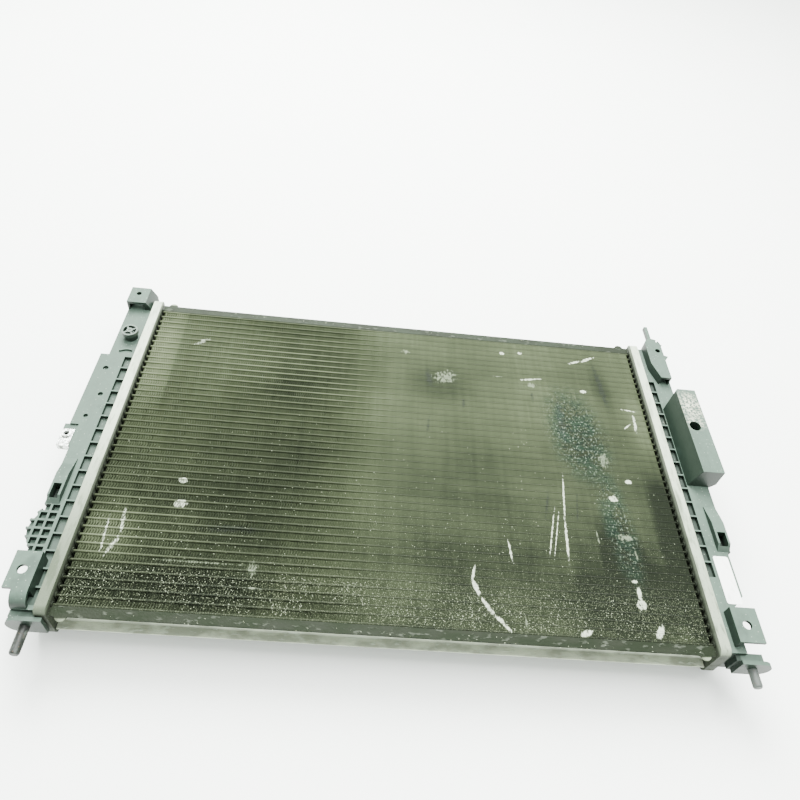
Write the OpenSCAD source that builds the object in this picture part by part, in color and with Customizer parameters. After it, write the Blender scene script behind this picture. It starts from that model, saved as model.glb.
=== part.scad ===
// Cross-flow car radiator: brazed aluminium core with a moulded tank crimped on each side.
// It lies on its back, front face up. +X runs towards the right tank, +Y towards the upper
// side plate and +Z out of the front face. The origin is under the middle, on the rest plane.

/* [Core] */
// Number of flat tubes
tube_count = 45; // [41:1:47]
// Distance from one tube to the next
tube_pitch = 8; // [7.6:0.1:8.2]
// Depth of tubes and fins, front to back
core_depth = 26; // [24:1:28]
// Length of a fin row, side to side
fin_length = 544; // [480:2:544]
// Outer thickness of a flat tube
tube_thick = 2; // [1.6:0.1:2.4]
// Wall of a flat tube
tube_wall = 0.3; // [0.25:0.05:0.4]
// Thickness of the folded fin sheet
fin_sheet = 0.5; // [0.3:0.05:0.6]
// Length of one fin leg's run along the row
fin_run = 13; // [8:1:16]

/* [Side plates] */
// Sheet thickness of a side plate
plate_sheet = 1.4; // [1:0.1:1.8]
// How far the side plate's flanges stand out
plate_flange = 9; // [7:0.5:10]

/* [Header plates] */
// Half of the distance between the two header plates, on the core side
header_half_span = 274.5; // [274.5:0.5:277.5]
// Depth of the header pan, front to back
header_depth = 42; // [40:1:44]
// Height of the header pan's rim, out to the crimped lip
rim_height = 9; // [9:0.5:10]
// Sheet thickness of a header plate
header_sheet = 1.2; // [1:0.1:1.4]

/* [Tanks] */
// Distance from the middle to the left tank's outer side
left_tank_x = 310.5; // [310:0.5:312]
// Distance from the middle to the right tank's outer side
right_tank_x = 313; // [311:0.5:313]
// Height of the tank's front face above the core's front face
face_height = 3; // [2.5:0.5:3.5]
// Wall of a tank
tank_wall = 3; // [2.6:0.2:3.4]
// Distance from one foot rib to the next
rib_pitch = 16.35; // [16:0.05:16.5]
// Height of the tank's back above the surface that the radiator lies on
stand_off = 27; // [24:1:32]

/* [Ports] */
// Outer radius of a hose spigot
spigot_radius = 15; // [13:0.5:15]
// Wall of a hose spigot
spigot_wall = 2.8; // [2:0.2:3]

/* [Screws] */
// Radius of the bleed screw and drain plug threads
screw_radius = 3.95; // [3.5:0.05:3.95]
// Radial clearance between a moving piece and the piece around it
running_gap = 0.05; // [0.02:0.01:0.08]

/* [Mounting points] */
// Radius of the two locating pins
pin_radius = 4; // [3:0.5:4.5]
// Radius of the lower bracket holes
bracket_hole_radius = 4; // [3:0.5:4.5]
// Radius of the socket in the bracket box
box_hole_radius = 6; // [4:0.5:6.5]

/* [Hidden] */
$fn = 48;
cut = 1;                                    // how far a cutting shape runs past a face
tank_depth = 32;                            // front to back, outside
front_z = stand_off + tank_depth - face_height;   // the core's front face, above the rest plane
back = face_height - tank_depth;            // the tank's back, from the core's front face
core_half = (tube_count - 1) * tube_pitch / 2;
plate_inner = core_half + tube_thick / 2;
header_half = plate_inner + plate_flange + 1;     // half of the header pan's length
header_front = (header_depth - core_depth) / 2;
header_back = -core_depth - header_front;
header_corner = 6;
rim_x = header_half_span + rim_height;      // outer edge of the crimped lip
lip_width = 2.5;
gasket_x = header_half_span + header_sheet + 0.3;
gasket_thick = 2;
foot_x = gasket_x + gasket_thick;           // core-side face of the tank's foot
foot_top_x = rim_x - header_sheet;
end_x = 300;                                // outer side of a tank's narrow lower end
narrow_y = -core_half + 32;                 // where the lower end gets narrow
tube_end_x = header_half_span + header_sheet + 3;

// Foot ribs
rib_thick = 1.6;
groove_x = [rim_x + 0.5, 293.5];
groove_floor = -1;
left_rib_y = 96.9;
right_rib_y = 129.9;
left_rib_count = 17;
right_rib_count = 15;

// Left tank's front
top_block_x = [-311, -290];
top_block_y = [core_half - 4, core_half + 21];
top_block_z = 14;
top_block_hole = [-301, core_half + 11];
top_block_hole_radius = 2.75;
roof = 3;                                   // thickness of a pocket's front wall
bleed_at = [-295, 127];
boss_radius = 7;
boss_z = 9;
seat_depth = 2.8;                           // counterbore that holds a seal
side_flange_x = -319;
side_flange_y = [3, 99];
dimples = [[-308, 79, 2.75], [-302.5, 43, 2.5], [-307.7, 14, 2.2]];
tab_x = [-324, -311];
tab_y = [-22, 4];
tab_z = [-4, 1];
tab_hole = [-318, -9];
tab_hole_radius = 3.2;
lobe_at = [-293, -109];
lobe_radius = 25;
waffle_start = [-296.4, -87.5];             // lower right corner of the first pocket
waffle_pitch = 8.2;
waffle_rib = 2;
waffle_floor = -2;

// Clip sockets on both tanks
socket_y = [-38, -87];
socket_z = 9;
socket_hole_y = [-83, -69];
left_socket_x = [-309, -298];
right_socket_x = [303, 315];

// Right tank's front
pocket_x = [291, 310];
pocket_y = [128, core_half + 16];
pocket_z = 14;
pocket_end_y = 177;                         // how far the pocket's hollow reaches
pocket_hole = [303.9, 172];
pocket_hole_radius = 3;
box_x = [300, 322];
box_y = [-13, 98];
box_z = 28;
box_wall = 3;
box_ridge = [296.5, 15];                     // where the box's inner side changes its slope
box_hole = [308, 46];
box_hole_depth = 18;
label_x = [296.5, 311];
label_y = [-139, -92];
label_thick = 0.2;

// Lower brackets, feet and locating pins
bracket_z = [11, 14];
left_bracket_x = [-310.5, -290];
right_bracket_x = [290, 313];
left_bracket_y = [-171, -138.5];
right_bracket_y = [-178, -147];
left_bracket_hole = [-300.8, -154.7];
right_bracket_hole = [301.2, -162.7];
foot_y = -core_half - 12;                   // lower end of the feet
flange_thick = 3.5;
flange_z = -10;
flange_radius = 11;
left_pin_x = -292;
right_pin_x = 308;
pin_grip = 5;                               // how deep a pin sits in its foot
pin_step = 1;                               // width of a pin's shoulder
left_pin_end = -214;
right_pin_end = -207;
spike_end = 214;
flange_end = 324;

// Back of the tanks
outlet_at = [-299.4, -109];
inlet_at = [299.4, 108];
spigot_end = 2 - front_z;
spigot_root = back - 6;                     // where a hose meets the collar
spigot_lead = 1;
beside_rim = rim_x + 0.4;                   // the tanks clear the header rims by this much
lug_x = 294;
lug_size = 12;
upper_lug_y = 150;
lower_lug_y = -170;
lug_hole_radius = 2.5;
lug_hole_depth = 15;
drain_at = [294, -140];
drain_boss_z = back - 6;

// ---- helpers ----

// Everything is drawn from the core's front face and then lifted onto the rest plane.
module lifted() translate([0, 0, front_z]) children();

// A box between two corners, each range given as [low, high].
module span(x, y, z)
    translate([x[0], y[0], z[0]]) cube([x[1] - x[0], y[1] - y[0], z[1] - z[0]]);

// An outline in the YZ plane, extruded along +X from x0 to x1.
module along_x(x0, x1) translate([x0, 0, 0]) rotate([90, 0, 90]) linear_extrude(x1 - x0) children();

// An outline in the XZ plane, extruded along Y from y0 to y1.
module along_y(y0, y1) translate([0, y1, 0]) rotate([90, 0, 0]) linear_extrude(y1 - y0) children();

module on_left() mirror([1, 0, 0]) children();

// ---- core ----

// Flat-oval section in the YZ plane, centred in the core's depth.
module oval(thick, depth) {
    translate([0, -core_depth / 2]) {
        square([thick, depth - thick], center = true);
        for (side = [-1, 1]) translate([0, side * (depth - thick) / 2]) circle(d = thick);
    }
}

module tube_row(x0, x1, thick, depth)
    for (i = [0 : tube_count - 1])
        translate([0, i * tube_pitch - core_half, 0]) along_x(x0, x1) oval(thick, depth);

module core_tubes() color([0.45, 0.48, 0.40]) lifted()
    for (i = [0 : tube_count - 1]) translate([0, i * tube_pitch - core_half, 0])
        along_x(-tube_end_x, tube_end_x) difference() {
            oval(tube_thick, core_depth);
            oval(tube_thick - 2 * tube_wall, core_depth - 2 * tube_wall);
        }

// One row of fins: a folded strip whose crests touch the tubes above and below it.
module fin_strip() {
    gap = tube_pitch - tube_thick;
    runs = floor(fin_length / fin_run);
    sheet_y = fin_sheet * norm([fin_run, gap]) / fin_run;
    start = -runs * fin_run / 2;
    upper = [for (i = [0 : runs]) [start + i * fin_run, i % 2 == 0 ? sheet_y : gap]];
    lower = [for (i = [runs : -1 : 0]) [start + i * fin_run, i % 2 == 0 ? 0 : gap - sheet_y]];
    translate([0, 0, -core_depth]) linear_extrude(core_depth) polygon(concat(upper, lower));
}

module core_fins() color([0.38, 0.42, 0.32]) lifted()
    for (i = [0 : tube_count - 2])
        translate([0, i * tube_pitch - core_half + tube_thick / 2, 0]) fin_strip();

// A channel with its open side outwards, and a rounded lug on each end's front flange.
module side_plate() {
    reach = fin_length / 2 + 2;
    lug_radius = 5;
    lug_inset = 10;
    along_x(-reach, reach) {
        translate([plate_inner, -core_depth]) square([plate_sheet, core_depth]);
        for (z = [-plate_sheet, -core_depth])
            translate([plate_inner, z]) square([plate_flange, plate_sheet]);
    }
    for (side = [-1, 1])
        translate([side * (reach - lug_inset), plate_inner + plate_flange - 1, -plate_sheet])
            cylinder(r = lug_radius, h = plate_sheet);
}

module upper_side_plate() color([0.55, 0.58, 0.52]) lifted() side_plate();
module lower_side_plate() color([0.60, 0.62, 0.56]) lifted() mirror([0, 1, 0]) side_plate();

// ---- header plates and gaskets ----

// The header pan's outline in the YZ plane, made smaller all round by an inset.
module header_outline(inset) {
    half = header_half - inset;
    low = header_back + inset;
    high = header_front - inset;
    corner = header_corner - inset;
    translate([-half + corner, low]) square([2 * (half - corner), high - low]);
    translate([-half, low + corner]) square([2 * half, high - low - 2 * corner]);
    for (y = [-half + corner, half - corner], z = [low + corner, high - corner])
        translate([y, z]) circle(r = corner);
}

module header_plate() difference() {
    along_x(header_half_span, rim_x) header_outline(0);
    along_x(header_half_span + header_sheet, foot_top_x) header_outline(header_sheet);
    along_x(foot_top_x - cut / 2, rim_x + cut) header_outline(header_sheet + lip_width);
    tube_row(header_half_span - cut, rim_x + cut, tube_thick, core_depth);
}

module left_header_plate() color([0.86, 0.88, 0.84]) lifted() on_left() header_plate();
module right_header_plate() color([0.84, 0.86, 0.82]) lifted() header_plate();

module header_gasket() {
    gasket_width = 4;
    along_x(header_half_span + header_sheet, foot_x) difference() {
        header_outline(header_sheet);
        header_outline(header_sheet + gasket_width);
    }
}

module left_header_gasket() color([0.08, 0.08, 0.08]) lifted() on_left() header_gasket();
module right_header_gasket() color([0.08, 0.08, 0.08]) lifted() header_gasket();

// ---- tanks ----

// Outline of a tank seen from the front, for the right side.
module tank_plan(side_x, inset) {
    top = header_half - header_sheet - lip_width - inset;
    polygon([[foot_top_x - 2, -top], [end_x - inset, -top], [end_x - inset, narrow_y],
        [side_x - inset, narrow_y + side_x - end_x], [side_x - inset, top], [foot_top_x - 2, top]]);
}

// The hollow shell that both tanks share, drawn for the right side.
module tank_shell(side_x) {
    mouth = 4.8;
    step_x = foot_x + 3.5;
    front_wall = face_height - groove_floor + tank_wall;
    difference() {
        union() {
            along_x(foot_x, foot_top_x) header_outline(header_sheet);
            translate([0, 0, back]) linear_extrude(tank_depth) tank_plan(side_x, 0);
        }
        along_x(foot_x - cut, step_x) header_outline(header_sheet + mouth);
        translate([0, 0, back + tank_wall])
            linear_extrude(tank_depth - front_wall - tank_wall) tank_plan(side_x, tank_wall);
        along_x(step_x - cut, foot_top_x + cut)
            translate([-header_half + header_corner + 3, back + tank_wall])
                square([2 * (header_half - header_corner - 3), tank_depth - front_wall - tank_wall]);
    }
}

// Cells cut beside the rim, which leave a rib between each two, for the right side.
module rib_cells(first_y, count)
    for (i = [0 : count - 1])
        span([groove_x[0], groove_x[1]],
            [first_y - (i + 1) * rib_pitch + rib_thick, first_y - i * rib_pitch],
            [groove_floor, face_height + cut]);

// Hose spigot on the tank's back. Its collar stops the hose and is cut off beside the header.
module spigot(at) {
    free = spigot_root - spigot_end - spigot_lead;
    inner_x = sign(at[0]) * beside_rim;
    outer_x = sign(at[0]) * flange_end;
    translate([at[0], at[1], spigot_end]) {
        cylinder(r1 = spigot_radius - spigot_lead, r2 = spigot_radius, h = spigot_lead);
        translate([0, 0, spigot_lead]) cylinder(r = spigot_radius, h = free + cut);
    }
    intersection() {
        translate([at[0], at[1], spigot_root])
            cylinder(r = spigot_radius + 3, h = back + 2 * tank_wall - spigot_root);
        span([min(inner_x, outer_x), max(inner_x, outer_x)],
            [at[1] - 2 * spigot_radius, at[1] + 2 * spigot_radius], [spigot_root - cut, 0]);
    }
}

module spigot_passage(at)
    translate([at[0], at[1], spigot_end - cut])
        cylinder(r = spigot_radius - spigot_wall, h = back + tank_wall - spigot_end + 2 * cut);

// The post that a cowl screws to; the radiator lies on the ends of these posts.
module cowl_lug(x, y)
    translate([x, y, 0]) span([-lug_size / 2, lug_size / 2], [-lug_size / 2, lug_size / 2],
        [-front_z, back + cut]);

module cowl_lug_hole(x, y)
    translate([x, y, -front_z - cut]) cylinder(r = lug_hole_radius, h = lug_hole_depth + cut);

module cowl_lugs(side) for (y = [upper_lug_y, lower_lug_y]) cowl_lug(side * lug_x, y);
module cowl_lug_holes(side) for (y = [upper_lug_y, lower_lug_y]) cowl_lug_hole(side * lug_x, y);

// Snap socket: a ramp that rises towards a pocket.
module socket_block(x) {
    rise = socket_z - face_height;
    ramp = 20;
    translate([x[0], 0, 0]) rotate([90, 0, 90]) linear_extrude(x[1] - x[0])
        polygon([[socket_y[1], face_height - cut], [socket_y[0], face_height - cut],
            [socket_y[0], face_height + 1], [socket_y[0] - ramp, socket_z],
            [socket_y[1] + rise, socket_z], [socket_y[1], face_height]]);
}

module socket_hole(x)
    span([x[0] + 2, x[1] - 2], socket_hole_y, [groove_floor, socket_z + cut]);

// Lower bracket: a plate that stands on one upright wall.
module lower_bracket(x, y, wall_x) {
    span(x, y, bracket_z);
    span(wall_x, y, [face_height - 6, bracket_z[1]]);
}

// Curved front wall that runs from the left bracket's plate down to its foot.
module bracket_apron(x, y) {
    radius = 12;
    sheet = 3;
    centre_z = bracket_z[1] - radius;
    along_x(x[0], x[1]) {
        intersection() {
            translate([y, centre_z]) difference() {
                circle(r = radius);
                circle(r = radius - sheet);
            }
            translate([y - radius, centre_z]) square(radius);
        }
        translate([y - radius, flange_z]) square([sheet, centre_z - flange_z]);
    }
}

// Foot under a bracket, with the flange that the locating pin stands on. The foot's range is
// outward from the header rim; the flange has a round end on its outer side.
module pin_foot(foot_range, flange_range) {
    round_x = flange_range[1] - flange_radius;
    span(foot_range, [foot_y, foot_y + 6.5], [flange_z - flange_radius, -1]);
    translate([0, foot_y, flange_z]) {
        span([flange_range[0], round_x], [-flange_thick, 0], [-flange_radius, flange_radius]);
        translate([round_x, 0, 0]) rotate([90, 0, 0])
            cylinder(r = flange_radius, h = flange_thick);
    }
}

// A locating pin's thinner shank sits in the foot; its shoulder stands on the flange.
module pin_socket(x)
    translate([x, foot_y - flange_thick - cut, flange_z]) rotate([-90, 0, 0])
        cylinder(r = pin_radius - pin_step, h = flange_thick + pin_grip + cut);

module locating_pin(x, end_y) {
    tip = 1.5;
    free = foot_y - flange_thick - end_y;
    translate([x, foot_y - flange_thick, flange_z]) rotate([90, 0, 0]) {
        cylinder(r = pin_radius, h = free - tip);
        translate([0, 0, free - tip])
            cylinder(r1 = pin_radius, r2 = pin_radius - tip / 2, h = tip);
        translate([0, 0, -flange_thick - pin_grip])
            cylinder(r = pin_radius - pin_step, h = flange_thick + pin_grip);
    }
}

module left_locating_pin() color([0.22, 0.25, 0.23]) lifted() locating_pin(left_pin_x, left_pin_end);
module right_locating_pin() color([0.30, 0.33, 0.31]) lifted()
    locating_pin(right_pin_x, right_pin_end);

// ---- left tank ----

// Open-fronted pocket at the tank's upper end.
module top_block() difference() {
    union() {
        span(top_block_x, top_block_y, [-8, top_block_z]);
        along_y(top_block_y[0], top_block_y[1])
            polygon([[top_block_x[1] - 1, -8], [-beside_rim, -8], [-beside_rim, face_height],
                [top_block_x[1], top_block_z], [top_block_x[1] - 1, top_block_z]]);
    }
    span([top_block_x[0] + 2.5, top_block_x[1] - 2.5], [top_block_y[0] - cut, top_block_y[1] - 3],
        [face_height, top_block_z - roof]);
    translate([top_block_hole[0], top_block_hole[1], top_block_z - roof - cut])
        cylinder(r = top_block_hole_radius, h = roof + 2 * cut);
}

// Round bulge of the tank over the outlet port.
module port_lobe() difference() {
    translate([lobe_at[0], lobe_at[1], back]) cylinder(r = lobe_radius, h = tank_depth - 1);
    span([-beside_rim, 0], [lobe_at[1] - lobe_radius, 0], [back - cut, face_height + cut]);
}

// Square pockets that leave a grid of ribs on the bulge and on the tank beside it.
module waffle_cells() {
    columns = 3;
    rows = 6;
    cell = waffle_pitch - waffle_rib;
    for (c = [0 : columns - 1], r = [0 : rows - 1])
        translate([waffle_start[0] - c * waffle_pitch, waffle_start[1] - r * waffle_pitch, 0])
            span([-cell, 0], [-cell, 0], [waffle_floor, face_height + cut]);
}

module bleed_boss()
    translate([bleed_at[0], bleed_at[1], 0]) {
        cylinder(r = boss_radius, h = boss_z);
        translate([0, 0, -6]) cylinder(r = screw_radius + 2.5, h = 7);
    }

module screw_bore(at, mouth_z, inner_z) {
    low = min(mouth_z, inner_z) - cut;
    high = max(mouth_z, inner_z) + cut;
    seat = mouth_z > inner_z ? mouth_z - seat_depth : mouth_z - cut;
    translate([at[0], at[1], 0]) {
        translate([0, 0, low]) cylinder(r = screw_radius + running_gap, h = high - low);
        translate([0, 0, seat]) cylinder(r = screw_radius + 1.7, h = seat_depth + cut);
    }
}

// Curved rib under the bleed boss.
module crescent_rib() {
    intersection() {
        translate([-293, 96, 0]) difference() {
            cylinder(r = 12, h = face_height + 2);
            translate([0, 0, -cut]) cylinder(r = 10.4, h = face_height + 2 + 2 * cut);
        }
        span([-303, -288.5], [104, 112], [0, face_height + 2]);
    }
}

module left_tank() color([0.62, 0.68, 0.64]) lifted() difference() {
    union() {
        difference() {
            union() {
                on_left() tank_shell(left_tank_x);
                port_lobe();
            }
            on_left() rib_cells(left_rib_y, left_rib_count);
            waffle_cells();
        }
        top_block();
        span([side_flange_x, -left_tank_x + cut], side_flange_y, [0, face_height]);
        difference() {
            span(tab_x, tab_y, tab_z);
            translate([tab_hole[0], tab_hole[1], tab_z[0] - cut])
                cylinder(r = tab_hole_radius, h = tab_z[1] - tab_z[0] + 2 * cut);
        }
        socket_block(left_socket_x);
        bleed_boss();
        crescent_rib();
        lower_bracket(left_bracket_x, left_bracket_y, [left_bracket_x[1] - 3, left_bracket_x[1]]);
        bracket_apron([-303, left_bracket_x[1]], left_bracket_y[0]);
        on_left() pin_foot([beside_rim, 304], [277, 307]);
        spigot(outlet_at);
        cowl_lugs(-1);
    }
    for (d = dimples) translate([d[0], d[1], face_height - 3]) cylinder(r = d[2], h = 3 + cut);
    socket_hole(left_socket_x);
    screw_bore(bleed_at, boss_z, -6);
    translate([left_bracket_hole[0], left_bracket_hole[1], bracket_z[0] - cut])
        cylinder(r = bracket_hole_radius, h = 3 + 2 * cut);
    pin_socket(left_pin_x);
    spigot_passage(outlet_at);
    cowl_lug_holes(-1);
}

// ---- right tank ----

// Raised pocket at the upper end, open at its lower end, with one corner cut away.
module upper_pocket() difference() {
    rounding = (pocket_x[1] - pocket_x[0]) / 2;
    middle = (pocket_x[0] + pocket_x[1]) / 2;
    translate([0, 0, -8]) linear_extrude(pocket_z + 8) difference() {
        union() {
            translate([pocket_x[0], pocket_y[0]])
                square([pocket_x[1] - pocket_x[0], pocket_y[1] - rounding - pocket_y[0]]);
            translate([middle, pocket_y[1] - rounding]) circle(r = rounding);
        }
        polygon([[pocket_x[0] - cut, pocket_y[0] - cut], [pocket_x[0] + 7, pocket_y[0] - cut],
            [pocket_x[0], pocket_y[0] + 22], [pocket_x[0] - cut, pocket_y[0] + 22]]);
    }
    span([pocket_x[0] + 8.3, pocket_x[1] - 1.5], [pocket_y[0] - cut, pocket_end_y],
        [face_height, pocket_z - roof]);
    translate([306, pocket_y[1] - 3.5, pocket_z - 2]) cylinder(r = 1.6, h = 2 + cut);
    translate([pocket_hole[0], pocket_hole[1], pocket_z - roof - cut])
        cylinder(r = pocket_hole_radius, h = roof + 2 * cut);
}

// Pointed stops that stand out of the pocket's outer side.
module side_stop(y, length)
    translate([0, y, pocket_z - 5]) linear_extrude(3)
        polygon([[pocket_x[1] - cut, -length], [pocket_x[1] - cut, length],
            [pocket_x[1] + length, length * 0.6]]);

module right_tank() color([0.60, 0.66, 0.62]) lifted() difference() {
    union() {
        difference() {
            tank_shell(right_tank_x);
            rib_cells(right_rib_y, right_rib_count);
        }
        upper_pocket();
        span([297, 301], [pocket_y[1] - 6, spike_end], [pocket_z - 6, pocket_z - 1]);
        side_stop(162, 6);
        side_stop(pocket_y[1] - 9, 3);
        span([right_tank_x - cut, 316], [socket_y[1], box_y[0]], [groove_floor - 2, face_height]);
        socket_block(right_socket_x);
        lower_bracket(right_bracket_x, right_bracket_y,
            [right_bracket_x[0], right_bracket_x[0] + 3]);
        pin_foot([291, 315], [294.5, flange_end]);
        spigot(inlet_at);
        cowl_lugs(1);
        translate([drain_at[0], drain_at[1], drain_boss_z]) cylinder(r = 6.5, h = 7 + 3);
    }
    socket_hole(right_socket_x);
    screw_bore(drain_at, drain_boss_z, back + tank_wall);
    translate([right_bracket_hole[0], right_bracket_hole[1], bracket_z[0] - cut])
        cylinder(r = bracket_hole_radius, h = 3 + 2 * cut);
    pin_socket(right_pin_x);
    spigot_passage(inlet_at);
    cowl_lug_holes(1);
}

// Raised box that carries the neighbouring heat exchanger; its inner side has two slopes.
module bracket_box() color([0.58, 0.66, 0.62]) lifted() difference() {
    along_y(box_y[0], box_y[1])
        polygon([[294, face_height], box_ridge, [box_x[0], box_z], [box_x[1], box_z],
            [box_x[1], 8], [right_tank_x + 1, -2], [right_tank_x, -2],
            [right_tank_x, face_height]]);
    along_y(box_y[0] + box_wall, box_y[1] - box_wall)
        polygon([[box_x[0] + 4, face_height - cut], [box_x[0] + 4, 8], [box_x[1] - 6, 8],
            [right_tank_x - 4, face_height - cut]]);
    translate([box_hole[0], box_hole[1], box_z - box_hole_depth])
        cylinder(r = box_hole_radius, h = box_hole_depth + cut);
    linear_extrude(box_z + cut)
        polygon([[box_x[0] - 10, box_y[1] - 14], [box_x[0] - 10, box_y[1] + cut],
            [box_x[0] + 3, box_y[1] + cut]]);
}

module label() color([0.95, 0.96, 0.94]) lifted() {
    corner = 2;
    translate([0, 0, face_height]) linear_extrude(label_thick) {
        translate([label_x[0] + corner, label_y[0]])
            square([label_x[1] - label_x[0] - 2 * corner, label_y[1] - label_y[0]]);
        translate([label_x[0], label_y[0] + corner])
            square([label_x[1] - label_x[0], label_y[1] - label_y[0] - 2 * corner]);
        for (x = [label_x[0] + corner, label_x[1] - corner],
             y = [label_y[0] + corner, label_y[1] - corner])
            translate([x, y]) circle(r = corner);
    }
}

// Sprung steel nut that is pushed over the tab from its lower edge.
module clip_nut() color([0.80, 0.82, 0.80]) lifted() {
    leaf = 0.8;
    clip_x = [tab_hole[0] - 5.5, tab_hole[0] + 5.5];
    barrel_height = 2.5;
    difference() {
        union() {
            span(clip_x, [tab_y[0] - leaf, tab_hole[1] + 6], [tab_z[1], tab_z[1] + leaf]);
            span(clip_x, [tab_y[0] - leaf, tab_hole[1] + 6], [tab_z[0] - leaf, tab_z[0]]);
            span(clip_x, [tab_y[0] - leaf, tab_y[0]], [tab_z[0] - leaf, tab_z[1] + leaf]);
            translate([tab_hole[0], tab_hole[1], tab_z[1]]) cylinder(r = 4.4, h = barrel_height);
        }
        translate([tab_hole[0], tab_hole[1], tab_z[0] - leaf - cut])
            cylinder(r = tab_hole_radius, h = leaf + 2 * cut);
        translate([tab_hole[0], tab_hole[1], tab_z[1] - cut])
            cylinder(r = 2.5, h = barrel_height + 2 * cut);
    }
}

// ---- screws and their seals ----

// Seal ring in its seat, at the height of the ring's own middle.
module seal_ring(at, z)
    translate([at[0], at[1], z]) rotate_extrude()
        translate([screw_radius + running_gap + 0.8, 0]) circle(r = 0.8, $fn = 24);

// Bleed screw with a spoked ring for a head.
module bleed_screw() color([0.70, 0.74, 0.70]) lifted()
    translate([bleed_at[0], bleed_at[1], 0]) {
        head_z = boss_z + 0.4;
        head_height = 4.6;
        ring_radius = 8.5;
        ring_wall = 1.8;
        translate([0, 0, -4]) cylinder(r = screw_radius, h = head_z + 4 + head_height / 2);
        translate([0, 0, head_z]) {
            difference() {
                cylinder(r = ring_radius, h = head_height);
                translate([0, 0, -cut]) cylinder(r = ring_radius - ring_wall, h = head_height + 2 * cut);
            }
            for (a = [0, 90]) rotate([0, 0, a + 35]) translate([-ring_radius + 1, -0.9, 0])
                cube([2 * ring_radius - 2, 1.8, head_height - 0.6]);
            difference() {
                cylinder(r = 3.2, h = head_height);
                translate([0, 0, head_height - 1]) cylinder(r = 1.4, h = 1 + cut);
            }
        }
    }

module bleed_screw_seal() color([0.05, 0.05, 0.05]) lifted()
    seal_ring(bleed_at, boss_z - seat_depth + 1);

// Drain plug with a slotted head, under the lower end of the right tank's back.
module drain_plug() color([0.15, 0.16, 0.15]) lifted()
    translate([drain_at[0], drain_at[1], 0]) {
        head_z = drain_boss_z - 0.4;
        head_height = 8;
        slot = 2;
        translate([0, 0, head_z - 1]) cylinder(r = screw_radius, h = back - head_z + 3);
        difference() {
            translate([0, 0, head_z - head_height]) cylinder(r = 6.5, h = head_height);
            translate([-8, -slot / 2, head_z - head_height - cut]) cube([16, slot, 4 + cut]);
        }
    }

module drain_plug_seal() color([0.05, 0.05, 0.05]) lifted()
    seal_ring(drain_at, drain_boss_z + seat_depth - 2);

core_tubes();
core_fins();
upper_side_plate();
lower_side_plate();
left_header_plate();
right_header_plate();
left_header_gasket();
right_header_gasket();
left_tank();
right_tank();
bracket_box();
left_locating_pin();
right_locating_pin();
clip_nut();
label();
bleed_screw();
bleed_screw_seal();
drain_plug();
drain_plug_seal();
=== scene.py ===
"""Finish of a used car radiator: fine fins, brazed tube joints, dust, corrosion and scratches."""
import math
import bmesh
import bpy
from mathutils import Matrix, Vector


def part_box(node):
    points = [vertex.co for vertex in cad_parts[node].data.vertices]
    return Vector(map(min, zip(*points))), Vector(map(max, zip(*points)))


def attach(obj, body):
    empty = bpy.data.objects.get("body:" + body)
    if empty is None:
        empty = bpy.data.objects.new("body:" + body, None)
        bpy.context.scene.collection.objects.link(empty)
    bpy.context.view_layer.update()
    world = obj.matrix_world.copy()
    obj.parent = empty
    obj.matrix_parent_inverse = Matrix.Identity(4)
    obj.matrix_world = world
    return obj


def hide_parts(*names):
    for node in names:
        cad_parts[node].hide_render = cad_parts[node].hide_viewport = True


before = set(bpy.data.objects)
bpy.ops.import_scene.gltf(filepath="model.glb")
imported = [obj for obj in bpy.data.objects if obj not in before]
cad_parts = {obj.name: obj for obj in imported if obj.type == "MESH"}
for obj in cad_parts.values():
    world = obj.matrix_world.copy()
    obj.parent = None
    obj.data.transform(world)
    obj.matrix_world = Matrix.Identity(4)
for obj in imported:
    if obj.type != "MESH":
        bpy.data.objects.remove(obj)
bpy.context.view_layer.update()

MM = 0.001

# ---- sizes, from the parts in model.glb ----

TUBES_LOW, TUBES_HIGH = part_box("core_tubes")
LOWER_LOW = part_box("lower_side_plate")[0]
UPPER_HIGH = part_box("upper_side_plate")[1]
HEADER_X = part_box("right_header_plate")[0].x    # core-side face of the header plate
FRONT = TUBES_HIGH.z
DEPTH = TUBES_HIGH.z - TUBES_LOW.z
TUBE_COUNT = 45
TUBE_THICK = 2 * MM
PITCH = (TUBES_HIGH.y - TUBES_LOW.y - TUBE_THICK) / (TUBE_COUNT - 1)
GAP = PITCH - TUBE_THICK
FIN_REACH = 271 * MM            # half of a fin row's length
WELD = 2e-6                     # how close two corners are merged
FULL_TURN = 6.28


# ---- camera, floor and light ----

def set_camera():
    data = bpy.data.cameras.new("camera")
    data.lens = 30.243
    data.sensor_width = 36
    camera = bpy.data.objects.new("camera", data)
    camera.location = (-0.0505, -0.4046, 0.5909)
    camera.rotation_euler = [math.radians(a) for a in (41.4646, -6.2855, 0.9769)]
    bpy.context.scene.collection.objects.link(camera)
    bpy.context.scene.camera = camera


def soft_light(name, place, aim, size, watts, tint=(1, 1, 1)):
    data = bpy.data.lights.new(name, "AREA")
    data.shape = "DISK"
    data.size = size
    data.energy = watts
    data.color = tint
    light = bpy.data.objects.new(name, data)
    light.location = place
    light.rotation_euler = (Vector(aim) - Vector(place)).to_track_quat("-Z", "Y").to_euler()
    bpy.context.scene.collection.objects.link(light)


def set_light():
    world = bpy.data.worlds.new("studio")
    world.use_nodes = True
    backdrop = world.node_tree.nodes["Background"]
    backdrop.inputs["Color"].default_value = (0.95, 1, 0.96, 1)
    backdrop.inputs["Strength"].default_value = 2.3
    bpy.context.scene.world = world
    soft_light("sky_panel", (-0.3, 1.3, 1.7), (0, 0, 0), 1.6, 270, (0.97, 1, 0.97))
    soft_light("overhead_panel", (0.5, 0.1, 2.0), (0, 0, 0), 1.2, 84)


# ---- node graphs ----

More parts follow.
